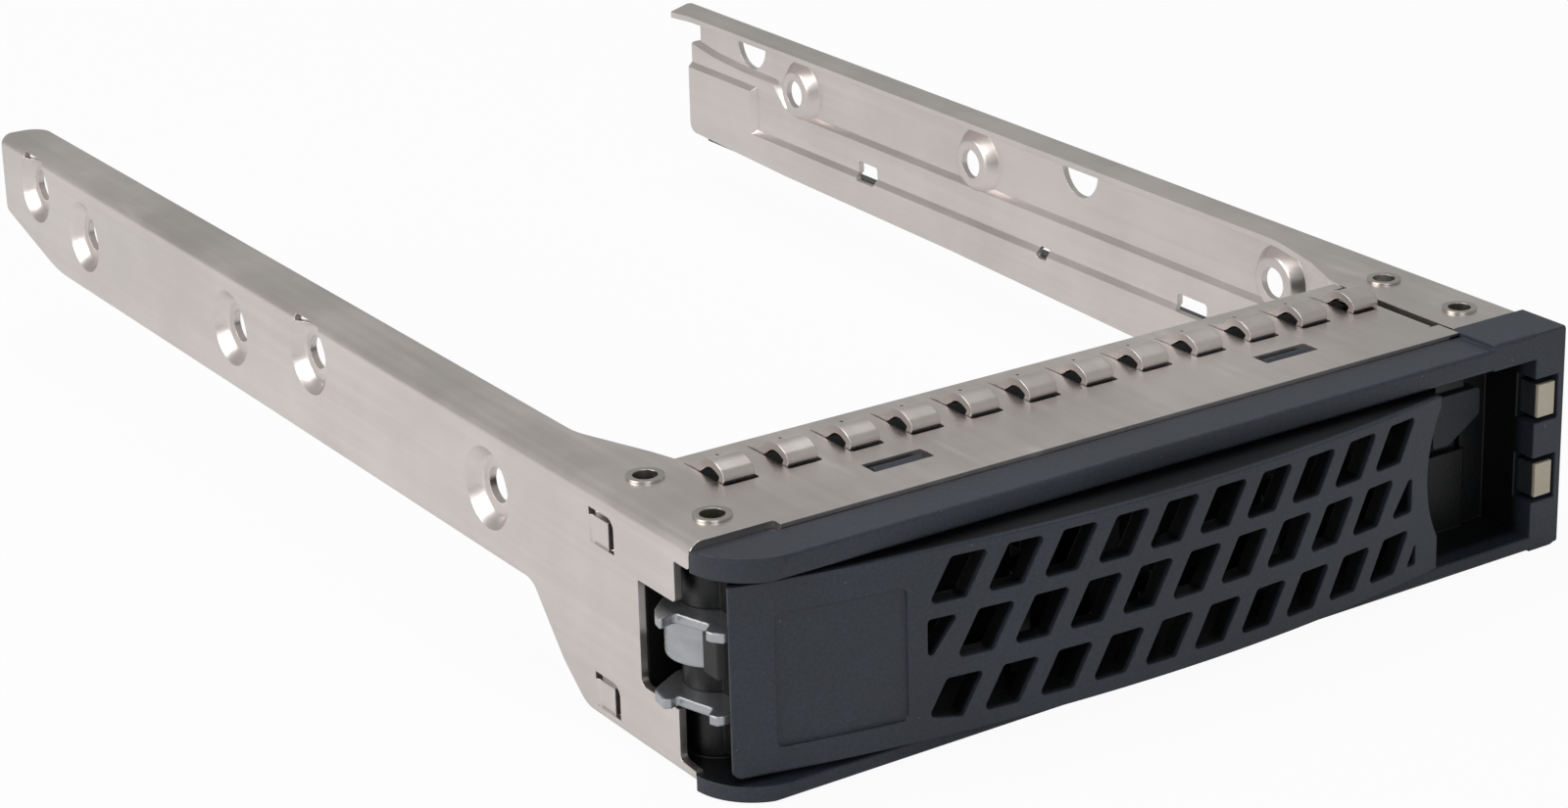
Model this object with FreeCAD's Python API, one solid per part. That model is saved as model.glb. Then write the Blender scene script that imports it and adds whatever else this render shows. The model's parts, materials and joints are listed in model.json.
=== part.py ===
import FreeCAD
import Part
import math
import os

os.makedirs("parts", exist_ok=True)

# Overall sizes in millimetres. X runs across the arms, Y from the lever to the rear, Z up.
WIDTH = 106.0
HEIGHT = 25.1
SHEET = 0.8
LEFT_END = 172.1
RIGHT_END = 173.5
EAR_END = 175.2
FOOT = 0.3
BEND = 1.5

# Drive screw holes of a 3.5 inch drive: two pitches along the side, height from its mounting face
HOLE_FIRST = 45.4
HOLE_PITCHES = (0.0, 60.0, 101.6)
HOLE_HEIGHT = 6.35
HOLE_RADIUS = 1.9
DIMPLE_DEPTH = 1.35
DIMPLE = 8.8

# Plate, fingers and eyelets
PLATE_FRONT = 5.4
PLATE_REAR = 25.3
SEAM = 10.2
SEAM_GAP = 0.4
PLATE_RIGHT = WIDTH - SEAM - SEAM_GAP
FINGERS = 12
FINGER_FIRST = 10.1
FINGER_LAST = PLATE_RIGHT - 5.0
FINGER_PITCH = (FINGER_LAST - FINGER_FIRST) / (FINGERS - 1)
FINGER_WIDTH = 3.5
FINGER_GAP = 0.1
SLOT_WIDTH = 4.0
SLOT_FRONT = 16.3
SLOT_REAR = 23.9
EYELET_X = 5.3
EYELET_FRONT = 10.9
EYELET_REAR = 23.0
EYELET_BORE = 1.25
EYELET_RIM = 1.9

# Bezel
LIP = 1.6
LIP_TOP = HEIGHT - 0.5
CEILING = HEIGHT - 2.9
STEEL_FRONT = 6.6
BEZEL_REAR = 15.6
BLOCK = 4.2
WALL_GAP = 0.1

# Lever
PIVOT_X = EYELET_X
PIVOT_Y = EYELET_FRONT
BOW_RADIUS = 200.0
BOW_X = WIDTH / 2 - 1.0
BOW_FRONT = -4.1
BOW_CENTRE = BOW_FRONT + BOW_RADIUS
LEVER_LEFT = 1.5
LEVER_RIGHT = WIDTH - 18.95
LEVER_REAR = 7.2
LEVER_SKIN = 2.2
END_SAG = 2.0
LEVER_LOW = LIP + 0.7
LEVER_HIGH = CEILING - 0.5
HUB_RADIUS = 3.3
HUB_GAP = 0.3
HUB_LOW = LIP + HUB_GAP
HUB_HIGH = CEILING - HUB_GAP
BARREL_RADIUS = 4.9
JAW = 0.95
JAW_UPPER_TOP = CEILING - 5.2
JAW_LOWER_TOP = 8.5
TOOTH_REACH = 1.8

# Hinge
PIN_RADIUS = 1.5
PIN_FIT = 0.06
BUSH_WALL = 0.8

# Latch
LATCH_FRONT = 5.0
LATCH_PLATE = 1.2
LATCH_TOP = CEILING - 3.8
LATCH_LEFT = WIDTH - 14.0
LATCH_RIGHT = WIDTH - 8.0
LATCH_FIT = 0.25
LATCH_BOTTOM = 8.0
LATCH_NECK = LATCH_TOP - 5.4
LATCH_STEM = 8.2
SPRING_TOP = 12.0
SPRING_RADIUS = 1.2
SPRING_WIRE = 0.25

# Screen
SCREEN = 0.5
SCREEN_FRONT = BEZEL_REAR + 1.0
SCREEN_LEFT = 1.3
SCREEN_RIGHT = WIDTH - 8.5
SCREEN_EDGE = 4.5
SCREEN_ROOF = PLATE_REAR - 0.2
LIP_REAR = SCREEN_FRONT - 0.05
POSTS = (24.0, 50.0, WIDTH - 32.0)
POST_WIDTH = 4.0

# The part's origin lies under the middle of its bounding box
ORIGIN = FreeCAD.Vector(
    (WIDTH - TOOTH_REACH) / 2,
    (BOW_FRONT + EAR_END) / 2,
    0,
)

AXES = {
    "x": FreeCAD.Vector(1, 0, 0),
    "y": FreeCAD.Vector(0, 1, 0),
    "z": FreeCAD.Vector(0, 0, 1),
}
ACROSS = {"yz": "x", "xz": "y", "xy": "z"}


def point(plane, u, v, w):
    if plane == "yz":
        return FreeCAD.Vector(w, u, v)
    if plane == "xz":
        return FreeCAD.Vector(u, w, v)
    return FreeCAD.Vector(u, v, w)


def box(x0, x1, y0, y1, z0, z1):
    return Part.makeBox(x1 - x0, y1 - y0, z1 - z0, FreeCAD.Vector(x0, y0, z0))


def rod(x, y, z, radius, length, axis="z"):
    return Part.makeCylinder(radius, length, FreeCAD.Vector(x, y, z), AXES[axis])


def outline(points, plane, w):
    """Closed wire through the points; a third number on a point rounds its corner."""
    spans = []
    for i, corner in enumerate(points):
        here = FreeCAD.Vector(corner[0], corner[1], 0)
        if len(corner) == 2:
            spans.append((here, None, here))
            continue
        last = points[i - 1]
        following = points[(i + 1) % len(points)]
        before = (FreeCAD.Vector(last[0], last[1], 0) - here).normalize()
        after = (FreeCAD.Vector(following[0], following[1], 0) - here).normalize()
        half = before.getAngle(after) / 2
        back = corner[2] / math.tan(half)
        middle = (before + after).normalize()
        centre = here + middle * (corner[2] / math.sin(half))
        spans.append((here + before * back, centre - middle * corner[2], here + after * back))
    edges = []
    for i, (start, middle, end) in enumerate(spans):
        a = point(plane, start.x, start.y, w)
        b = point(plane, end.x, end.y, w)
        if middle is not None:
            m = point(plane, middle.x, middle.y, w)
            edges.append(Part.Arc(a, m, b).toShape())
        following = spans[(i + 1) % len(spans)][0]
        c = point(plane, following.x, following.y, w)
        if b.distanceToPoint(c) > 1e-6:
            edges.append(Part.makeLine(b, c))
    return Part.Wire(edges)


def prism(points, plane, low, high):
    face = Part.Face(outline(points, plane, low))
    return face.extrude(AXES[ACROSS[plane]] * (high - low))


def taper(lower, upper, plane, low, high):
    return Part.makeLoft([outline(lower, plane, low), outline(upper, plane, high)], True, True)


def rounded(u, v, width, height, radius):
    return [
        (u - width / 2, v - height / 2, radius),
        (u + width / 2, v - height / 2, radius),
        (u + width / 2, v + height / 2, radius),
        (u - width / 2, v + height / 2, radius),
    ]


def strip(start, heading, moves, thick, plane, low, high):
    """Bent strip: a move is (length,) for a flat, (radius, turn) for a bend.

    The path is one face of the strip, the thickness lies to its left, a left turn is positive.
    """
    u, v = start
    angle = math.radians(heading)
    near = []
    far = []

    def left(a, distance):
        return (-math.sin(a) * distance, math.cos(a) * distance)

    for move in moves:
        du, dv = left(angle, thick)
        first = (u, v)
        first_far = (u + du, v + dv)
        if len(move) == 1:
            u += math.cos(angle) * move[0]
            v += math.sin(angle) * move[0]
            near.append((first, None, (u, v)))
            far.append((first_far, None, (u + du, v + dv)))
            continue
        radius, turn = move
        sign = 1 if turn > 0 else -1
        cu, cv = left(angle, radius * sign)
        centre = (u + cu, v + cv)
        halfway = angle + math.radians(turn) / 2
        angle += math.radians(turn)
        outer = radius - thick * sign
        mu, mv = left(halfway, radius * sign)
        eu, ev = left(angle, radius * sign)
        fmu, fmv = left(halfway, outer * sign)
        feu, fev = left(angle, outer * sign)
        u = centre[0] - eu
        v = centre[1] - ev
        near.append((first, (centre[0] - mu, centre[1] - mv), (u, v)))
        far.append((first_far, (centre[0] - fmu, centre[1] - fmv), (centre[0] - feu, centre[1] - fev)))

    edges = []
    for first, middle, last in near + far:
        a = point(plane, first[0], first[1], low)
        b = point(plane, last[0], last[1], low)
        if middle is None:
            edges.append(Part.makeLine(a, b))
        else:
            edges.append(Part.Arc(a, point(plane, middle[0], middle[1], low), b).toShape())
    for i in (0, -1):
        k = 0 if i == 0 else 2
        a = point(plane, near[i][k][0], near[i][k][1], low)
        b = point(plane, far[i][k][0], far[i][k][1], low)
        edges.append(Part.makeLine(a, b))
    wire = Part.Wire(Part.__sortEdges__(edges))
    return Part.Face(wire).extrude(AXES[ACROSS[plane]] * (high - low))


def fuse(shapes):
    return shapes[0].multiFuse(shapes[1:]).removeSplitter()


def moved(shape, x=0.0, y=0.0, z=0.0):
    copy = shape.copy()
    copy.translate(FreeCAD.Vector(x, y, z))
    return copy


def mirrored(shape):
    return shape.mirror(FreeCAD.Vector(WIDTH / 2, 0, 0), AXES["x"])


def save(name, shape):
    copy = shape.copy()
    copy.translate(ORIGIN * -1)
    copy.exportStep("parts/" + name + ".step")


hole_z = HEIGHT - SHEET - HOLE_HEIGHT
hole_ys = [HOLE_FIRST + pitch for pitch in HOLE_PITCHES]


def dimple(y, z):
    """Pressed round pocket from the arm's outer face inward: sloped wall, flat floor."""
    floor = DIMPLE / 2 - 1.3
    side = outline(
        [(-0.5, 0), (-0.5, DIMPLE / 2 + 0.5), (0, DIMPLE / 2, 1.6), (DIMPLE_DEPTH, floor, 0.7), (DIMPLE_DEPTH, 0)],
        "xy", 0,
    )
    void = Part.Face(side).revolve(FreeCAD.Vector(0, 0, 0), AXES["x"], 360)
    return moved(void, y=y, z=z)


def dimples():
    return [dimple(y, hole_z) for y in hole_ys]


def folded(reach, voids):
    """Side wall with its top and bottom folds, the pressed voids formed through the sheet."""
    inner_bend = BEND - SHEET
    outer = prism(
        [(reach, HEIGHT), (0, HEIGHT, BEND), (0, FOOT, BEND), (reach, FOOT)], "xz", 0, EAR_END
    )
    inner = prism(
        [
            (reach + 1, HEIGHT - SHEET),
            (SHEET, HEIGHT - SHEET, inner_bend),
            (SHEET, FOOT + SHEET, inner_bend),
            (reach + 1, FOOT + SHEET),
        ],
        "xz", -1, EAR_END + 1,
    )
    outer = outer.cut(voids)
    inner = inner.cut([moved(void, x=SHEET) for void in voids])
    return outer.cut(inner)


def trim(shell, side, plan, foot):
    """Keep the wall inside its side outline and the two folds inside their plan outlines."""
    low = HEIGHT - 1.2
    above = HEIGHT + 5
    behind = EAR_END + 10
    wall_waste = box(-5, 4, -5, behind, -5, low).cut(prism(side, "yz", -5, 4))
    top_waste = box(-5, WIDTH + 5, -5, behind, low, above).cut(prism(plan, "xy", low, above))
    foot_waste = box(4, WIDTH + 5, -5, behind, -5, 5).cut(prism(foot, "xy", -5, 5))
    return shell.cut([wall_waste, top_waste, foot_waste])


# Left arm, top plate and spring fingers, one folded sheet
above = HEIGHT + 5
clip_ys = (LEFT_END - 86.9, LEFT_END - 10.3)
clip_z = HEIGHT - 4.6
clip_voids = [dimple(y, clip_z) for y in clip_ys]

left_side = [
    (STEEL_FRONT + 0.1, above), (STEEL_FRONT + 0.1, CEILING + 0.2, 0.4), (9.4, CEILING + 0.2, 0.2),
    (9.4, HEIGHT - 6.9, 0.4), (16.1, HEIGHT - 6.9, 0.2), (16.1, 7.3, 0.8), (9.4, 7.3, 0.2), (9.4, 2.1, 0.6),
    (STEEL_FRONT + 0.1, 1.9), (STEEL_FRONT + 0.1, -2), (25.7, -2), (25.7, FOOT, 1.5),
    (31.0, 4.4, 8.0), (36.8, 11.0, 2.5), (LEFT_END - 15.6, 11.0, 20.0), (LEFT_END, 15.2, 0.8),
    (LEFT_END, above),
]
left_plan = [
    (-2, STEEL_FRONT), (9.3, STEEL_FRONT), (9.3, PLATE_FRONT), (PLATE_RIGHT, PLATE_FRONT),
    (PLATE_RIGHT, PLATE_REAR), (10.0, PLATE_REAR), (9.2, 28.2, 6.0), (5.9, 37.4, 8.0),
    (5.5, LEFT_END, 2.5), (-2, LEFT_END),
]
left_foot = [(3, STEEL_FRONT + 0.1), (8, STEEL_FRONT + 0.1), (8, 25.7), (3, 25.7)]
left_arm = folded(PLATE_RIGHT, dimples() + clip_voids)
left_arm = trim(left_arm, left_side, left_plan, left_foot)

cuts = [rod(-1, y, hole_z, HOLE_RADIUS, 5, "x") for y in hole_ys]
for y in clip_ys:
    cuts.append(rod(-1, y + 0.4, clip_z, HOLE_RADIUS, 5, "x"))
    cuts.append(prism(rounded(y + 0.2, HEIGHT - 0.95, 5.6, 0.8, 0.35), "yz", -1, BEND + 0.4))
louvres = ((HEIGHT - 5.9, HEIGHT - 2.3, HEIGHT - 3.1), (1.9, 5.5, 4.7))
for low, high, tab_high in louvres:
    window = [(20.3, low), (24.9, low), (24.9, high), (20.3, high, 1.2)]
    cuts.append(prism(window, "yz", -1, BEND + 0.2))
for x in POSTS[0] - 0.5, POSTS[2] - 0.9:
    cuts.append(box(x, x + 7.1, 10.6, 13.0, HEIGHT - 5, above))
for y in (EYELET_FRONT, EYELET_REAR):
    cuts.append(rod(EYELET_X, y, -1, PIN_RADIUS, HEIGHT + 5))
finger_xs = [FINGER_FIRST + FINGER_PITCH * i for i in range(FINGERS)]
for x in finger_xs:
    slot = [(x, SLOT_FRONT, 0.4), (x + SLOT_WIDTH, SLOT_FRONT, 0.4), (x + SLOT_WIDTH, SLOT_REAR), (x, SLOT_REAR)]
    cuts.append(prism(slot, "xy", HEIGHT - 5, above))
tab_start = PLATE_RIGHT - 1.4
cuts.append(box(tab_start, WIDTH, 8.5, SLOT_REAR, HEIGHT - 5, above))
left_arm = left_arm.cut(cuts)

finger_moves = [(0.5,), (5.2, -38), (0.3,), (2.7, 62), (0.6,), (1.0, 100), (0.5,)]
pieces = [left_arm]
for x in finger_xs:
    pieces.append(strip(
        (SLOT_REAR + 0.6, HEIGHT), 180, finger_moves, SHEET, "yz",
        x + FINGER_GAP, x + FINGER_GAP + FINGER_WIDTH,
    ))
for low, high, tab_high in louvres:
    pieces.append(strip((0, 25.6), -90, [(0.8,), (3.0, 30), (1.6,)], SHEET, "xy", low, tab_high))
tab_drop = SHEET + 0.05
pieces.append(prism(
    [(tab_start - 0.4, HEIGHT), (tab_start - 0.4, HEIGHT - SHEET),
     (tab_start, HEIGHT - SHEET), (tab_start + tab_drop, HEIGHT - SHEET - tab_drop),
     (WIDTH - 1.4, HEIGHT - SHEET - tab_drop), (WIDTH - 1.4, HEIGHT - tab_drop),
     (tab_start + tab_drop + 0.4, HEIGHT - tab_drop), (tab_start + 0.4, HEIGHT)],
    "xz", 8.7, 23.7,
))
left_arm = fuse(pieces)
for y in (EYELET_FRONT, EYELET_REAR):
    left_arm = left_arm.cut(rod(WIDTH - EYELET_X, y, 20, PIN_RADIUS, 10))
save("left_arm_plate", left_arm)

# Right arm, drawn as its mirror image with the outer face at X 0
step = 0.65
beyond = EAR_END + 1
shelf = HEIGHT - 10.1
line_one = [
    (30, shelf), (EAR_END - 28.0, shelf), (EAR_END - 25.0, shelf + 0.7), (EAR_END - 21.8, shelf + 3.4),
    (EAR_END - 13.3, shelf + 3.6), (EAR_END - 6.3, shelf + 4.0), (beyond, shelf + 5.0), (beyond, -5), (30, -5),
]
lower_one = [
    (30 + step, shelf - step), (EAR_END - 27.7, shelf - step), (EAR_END - 24.6, shelf),
    (EAR_END - 21.4, shelf + 2.7), (EAR_END - 13.3, shelf + 2.9), (EAR_END - 6.3, shelf + 3.3),
    (beyond, shelf + 4.3), (beyond, -6), (30 + step, -6),
]
first_step = taper(line_one, lower_one, "yz", 0, step)
first_step = fuse([first_step, prism(line_one, "yz", -1, 0)])
strip_top = HEIGHT - 15.0
rise_y = EAR_END - 17.4
rise_z = HEIGHT - 8.7
lower_band = [(30, strip_top), (rise_y, strip_top), (rise_y, rise_z), (beyond, rise_z), (beyond, -5), (30, -5)]
lower_two = [
    (30 + step, strip_top - step), (rise_y + step, strip_top - step), (rise_y + step, rise_z - step),
    (beyond, rise_z - step), (beyond, -6), (30 + step, -6),
]
second_step = taper(lower_band, lower_two, "yz", step, 2 * step)
second_step = fuse([second_step, prism(lower_band, "yz", -1, step)])
right_side = [
    (STEEL_FRONT + 0.1, above), (STEEL_FRONT + 0.1, -2), (25.7, -2), (25.7, FOOT, 1.5), (29.5, 3.0, 3.0),
    (72, 3.8), (110, 4.8), (EAR_END - 25.2, 5.3), (EAR_END - 0.2, 6.1, 1.5),
    (EAR_END - 0.2, HEIGHT - 5.7, 0.5), (RIGHT_END, HEIGHT - 5.3), (RIGHT_END, above),
]
right_plan = [
    (-2, STEEL_FRONT), (SEAM, STEEL_FRONT), (SEAM, PLATE_REAR), (9.9, 27.0, 3.0), (7.6, 32.5, 6.0),
    (5.6, 41.0, 8.0), (5.5, RIGHT_END - 5.0, 3.0), (6.3, RIGHT_END - 0.9, 0.5), (1.9, EAR_END), (-2, EAR_END),
]
right_foot = [(3, STEEL_FRONT + 0.1), (8, STEEL_FRONT + 0.1), (8, 25.7), (3, 25.7)]
right_arm = folded(SEAM + 1, dimples() + [first_step, second_step])
right_arm = trim(right_arm, right_side, right_plan, right_foot)
cuts = [rod(-1, y, hole_z, HOLE_RADIUS, 5, "x") for y in hole_ys]
clip_radius = 3.6
for y in (EAR_END - 91.3, EAR_END - 15.4):
    round_hole = rod(-1, y, CEILING, clip_radius, 3.5, "x")
    cuts.append(round_hole.common(box(-2, 4, y - 5, y + 5, CEILING - 7, CEILING + 1.0)))
for y, z, length, height in ((130.1, 10.4, 4.4, 2.6), (90.3, 9.6, 2.2, 1.4), (60.9, 10.5, 5.6, 2.1)):
    cuts.append(prism(rounded(y, z, length, height, 0.5), "yz", -1, 4))
pipe_window = [(20.5, 4.2, 0.8), (32.5, 4.2, 0.8), (32.5, 20.2, 0.8), (20.5, 20.2, 0.8)]
cuts.append(prism(pipe_window, "yz", -1, 4))
for y in (EYELET_FRONT, EYELET_REAR):
    cuts.append(rod(EYELET_X, y, -1, PIN_RADIUS, above))
right_arm = mirrored(right_arm.cut(cuts))
save("right_arm", right_arm)

# Light pipes: flat strips in the lower band of the right arm, thickened ends in the end block
pipe_ends = {"light_pipe_upper": (HEIGHT - 7.95, 8.3, 3.7), "light_pipe_lower": (8.0, 6.2, 3.8)}
pipe_in = (1.15, 3.55)
bend_start = 31.8
pipes = {}
for name, (end_z, arm_z, end_height) in pipe_ends.items():
    def section(y, inner, outer, z, height):
        return outline(
            [(WIDTH - outer, z - height / 2), (WIDTH - inner, z - height / 2),
             (WIDTH - inner, z + height / 2), (WIDTH - outer, z + height / 2)],
            "xz", y,
        )
    arm_part = Part.makeLoft(
        [section(EAR_END - 3.7, 0.1, 1.3, arm_z, 1.9), section(bend_start, 0.1, 1.3, arm_z, 1.9)], True, True
    )
    bend_part = Part.makeLoft(
        [section(bend_start, 0.1, 1.3, arm_z, 1.9), section(20.0, 1.0, 2.4, end_z, 3.0),
         section(16.5, pipe_in[0], pipe_in[1], end_z, end_height)], True, True,
    )
    end_part = Part.makeLoft(
        [section(16.5, pipe_in[0], pipe_in[1], end_z, end_height),
         section(0.2, pipe_in[0], pipe_in[1], end_z, end_height)], True, True,
    )
    pipes[name] = fuse([arm_part, bend_part, end_part])
    save(name, pipes[name])

# Bezel: two lips joined by the right end block, posts and a slotted back
block_left = WIDTH - BLOCK
skin = SHEET + WALL_GAP
upper_lip = prism(
    [(0, CEILING, 0.4), (0, LIP_TOP, 0.35), (PLATE_FRONT - 0.1, LIP_TOP), (PLATE_FRONT - 0.1, HEIGHT - SHEET),
     (LIP_REAR, HEIGHT - SHEET), (LIP_REAR, CEILING)],
    "yz", 0, WIDTH,
)
lower_lip = prism(
    [(0, 0, 0.5), (0, LIP, 0.3), (LIP_REAR, LIP), (LIP_REAR, FOOT + SHEET),
     (STEEL_FRONT, FOOT + SHEET), (STEEL_FRONT, 0)],
    "yz", 0, WIDTH,
)
raised = prism(
    [(0, CEILING), (0, HEIGHT, 0.4), (STEEL_FRONT, HEIGHT), (STEEL_FRONT, CEILING)],
    "yz", PLATE_RIGHT + 0.1, WIDTH,
)
end_block = prism(
    [(WIDTH, 0, 1.2), (WIDTH, HEIGHT, 0.4), (block_left, HEIGHT), (block_left, 0)], "xz", 0, BEZEL_REAR
)
plan_keep = fuse([
    prism([(0, -1, 5.5), (WIDTH, -1, 0.8), (WIDTH, STEEL_FRONT), (0, STEEL_FRONT)], "xy", -1, above),
    box(skin, WIDTH - skin, STEEL_FRONT - 0.5, SCREEN_FRONT, -1, above),
])
bezel_parts = [upper_lip, lower_lip, raised, end_block]
for x in POSTS:
    bezel_parts.append(box(x, x + POST_WIDTH, BEZEL_REAR - 4.5, SCREEN_FRONT, LIP - 0.1, CEILING + 0.1))
guide_left = LATCH_LEFT - LATCH_FIT
guide_right = LATCH_RIGHT + LATCH_FIT
flange_gap = 1.2
for x0, x1 in ((guide_left - 2.4, guide_left), (guide_right, block_left + 0.1)):
    bezel_parts.append(box(x0, x1, 7.6, BEZEL_REAR, LIP - 0.1, CEILING + 0.1))
bezel_parts.append(box(LATCH_LEFT + 0.3, LATCH_LEFT + 4.5, 5.4, 9.0, LATCH_TOP + 0.3, CEILING + 0.1))
bezel_parts.append(box(guide_left - 1, guide_right + 1, 14.4, BEZEL_REAR, LIP - 0.1, CEILING + 0.1))
bezel_parts.append(box(guide_left - 1, guide_right + 0.1, 7.0, LATCH_STEM - LATCH_FIT, LIP - 0.1, LATCH_NECK - 2.3))
bezel = fuse(bezel_parts).common(plan_keep)
cuts = [
    box(guide_left - 1.3, guide_right + 1.3, 11.0, 13.0, LIP, CEILING),
    box(tab_start - 0.6, WIDTH, 8.4, SCREEN_FRONT + 1, HEIGHT - SHEET - tab_drop, above),
    box(-1, WIDTH + 1, STEEL_FRONT, SCREEN_FRONT + 1, HEIGHT - SHEET, above),
    box(-1, WIDTH + 1, STEEL_FRONT, SCREEN_FRONT + 1, -1, FOOT + SHEET),
    box(guide_right + 1.2, block_left - 1.3, 9, 14.4, 9.8, CEILING - 1.5),
]
for name, (end_z, arm_z, end_height) in pipe_ends.items():
    half = end_height / 2 + 0.1
    cuts.append(box(block_left - 1.0, WIDTH - 0.8, -1, 2.8, end_z - half - 0.4, end_z + half + 0.8))
    cuts.append(box(
        WIDTH - pipe_in[1] - 0.1, WIDTH - pipe_in[0] + 0.1, -1, BEZEL_REAR + 1, end_z - half, end_z + half
    ))
for x in (EYELET_X, WIDTH - EYELET_X):
    cuts.append(rod(x, EYELET_FRONT, -1, PIN_RADIUS, above))
bezel = bezel.cut(cuts)
snaps = []
for x in (POSTS[0] + 0.2, POSTS[2] - 0.2):
    snaps.append(prism(
        [(10.9, HEIGHT - 1.2), (12.7, HEIGHT - 1.2), (12.7, HEIGHT - 0.4), (11.9, HEIGHT - 0.2), (10.9, HEIGHT - 0.7)],
        "yz", x, x + 5.7,
    ))
bezel = fuse([bezel] + snaps)

# Lever grip: bowed shell, slanted grille in three rows, solid hub end that holds the jaws
bow = rod(BOW_X, BOW_CENTRE, -1, BOW_RADIUS, above)
bow_inner = rod(BOW_X, BOW_CENTRE, -2, BOW_RADIUS - LEVER_SKIN, above)
grip_plan = [
    (LEVER_LEFT, -8), (LEVER_RIGHT + 1, -8), (LEVER_RIGHT + 1, LEVER_REAR), (9.3, LEVER_REAR, 1.0),
    (8.4, PIVOT_Y), (4.0, PIVOT_Y), (4.0, 6.0, 0.8), (LEVER_LEFT, 2.7),
]
grip_front = [
    (LEVER_LEFT, LEVER_LOW, 0.9), (LEVER_RIGHT + 1, LEVER_LOW), (LEVER_RIGHT + 1, LEVER_HIGH),
    (LEVER_LEFT, LEVER_HIGH, 0.3),
]
grip = prism(grip_plan, "xy", LEVER_LOW, LEVER_HIGH)
grip = grip.common(prism(grip_front, "xz", -8, PIVOT_Y + 1)).common(bow)
grip = grip.fuse(rod(PIVOT_X, PIVOT_Y, HUB_LOW, HUB_RADIUS, HUB_HIGH - HUB_LOW))


def end_curve(shift, reach):
    """Region right of the grip's hollow end, moved left by the shift."""
    top = FreeCAD.Vector(LEVER_RIGHT - shift, -8, LEVER_HIGH - 1.2)
    middle = FreeCAD.Vector(LEVER_RIGHT - END_SAG - shift, -8, LEVER_LOW + 10.4)
    bottom = FreeCAD.Vector(LEVER_RIGHT - shift, -8, LEVER_LOW + 3.6)
    far_x = LEVER_RIGHT + 5
    points = [
        FreeCAD.Vector(LEVER_RIGHT - shift, -8, -2), FreeCAD.Vector(far_x, -8, -2),
        FreeCAD.Vector(far_x, -8, above), FreeCAD.Vector(LEVER_RIGHT - shift, -8, above),
    ]
    edges = [
        Part.makeLine(points[3], top), Part.Arc(top, middle, bottom).toShape(),
        Part.makeLine(bottom, points[0]), Part.makeLine(points[0], points[1]),
        Part.makeLine(points[1], points[2]), Part.makeLine(points[2], points[3]),
    ]
    return Part.Face(Part.Wire(edges)).extrude(AXES["y"] * reach)


grip = grip.cut(end_curve(0, 20))
core_right = 20.0
hollow = box(core_right, LEVER_RIGHT + 2, -6, LEVER_REAR + 1, LEVER_LOW + 1.4, LEVER_HIGH - 1.4)
hollow = hollow.common(bow_inner).cut(end_curve(1.8, 20))
grip = grip.cut(hollow)
strike_left = LEVER_RIGHT - 8.6
strike_z = LATCH_TOP - 0.5
strike_y = LATCH_FRONT + LATCH_PLATE + 0.2
grip = grip.fuse(box(strike_left - 0.4, LEVER_RIGHT - 2.2, -1, strike_y, strike_z - 4.7, strike_z + 1.5))
for x in (POSTS[0] + 10.0, POSTS[1], POSTS[2] - 8.0):
    rib = box(x, x + 1.4, -5, 4.5, LEVER_LOW + 1, LEVER_HIGH - 1)
    window_room = box(x - 1, x + 3, -6, 1.5, LEVER_LOW + 1.4, LEVER_HIGH - 1.4)
    grip = grip.fuse(rib.common(bow_inner).cut(window_room))

row_top = LEVER_HIGH - 1.0
rows = ((row_top - 4.5, row_top, 3.6), (row_top - 10.6, row_top - 6.0, 4.5), (LEVER_LOW + 1.6, LEVER_LOW + 5.95, 3.6))
lean = 0.54
bar_pitch = 6.15
opening = 4.15
grille_left = 20.85


def clipped(points, limit, side):
    """Cut an outline by the upright line at the limit, keeping the given side."""
    kept = []
    for i, here in enumerate(points):
        following = points[(i + 1) % len(points)]
        inside = (here[0] - limit) * side >= 0
        next_inside = (following[0] - limit) * side >= 0
        if inside:
            kept.append(here)
        if inside != next_inside:
            share = (limit - here[0]) / (following[0] - here[0])
            kept.append((limit, here[1] + share * (following[1] - here[1])))
    return kept


windows = []
bars = int((LEVER_RIGHT - grille_left) / bar_pitch) + 2
for low, high, margin in rows:
    grille_right = LEVER_RIGHT - margin
    for k in range(-1, bars):
        left_high = grille_left + 2.55 + bar_pitch * k + lean * (high - row_top)
        left_low = left_high - lean * (high - low)
        shape = [(left_low, low), (left_low + opening, low), (left_high + opening, high), (left_high, high)]
        shape = clipped(shape, grille_left, 1)
        shape = clipped(shape, grille_right, -1) if shape else shape
        shape = [p for i, p in enumerate(shape) if math.dist(p, shape[i - 1]) > 1.3]
        if len(shape) < 3:
            continue
        width = max(p[0] for p in shape) - min(p[0] for p in shape)
        if width < 1.2:
            continue
        corner = min(0.5, width / 8)
        windows.append(prism([(u, v, corner) for u, v in shape], "xz", -8, 3))
grip = grip.cut(windows)
middle_z = (LEVER_LOW + LEVER_HIGH) / 2
recess = prism(rounded(12.3, middle_z - 0.4, 13.0, LEVER_HIGH - LEVER_LOW - 5.8, 0.6), "xz", -8, 8)
recess = recess.cut(rod(BOW_X, BOW_CENTRE, -1, BOW_RADIUS - 0.35, above))
grip = grip.cut(recess)

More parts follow.
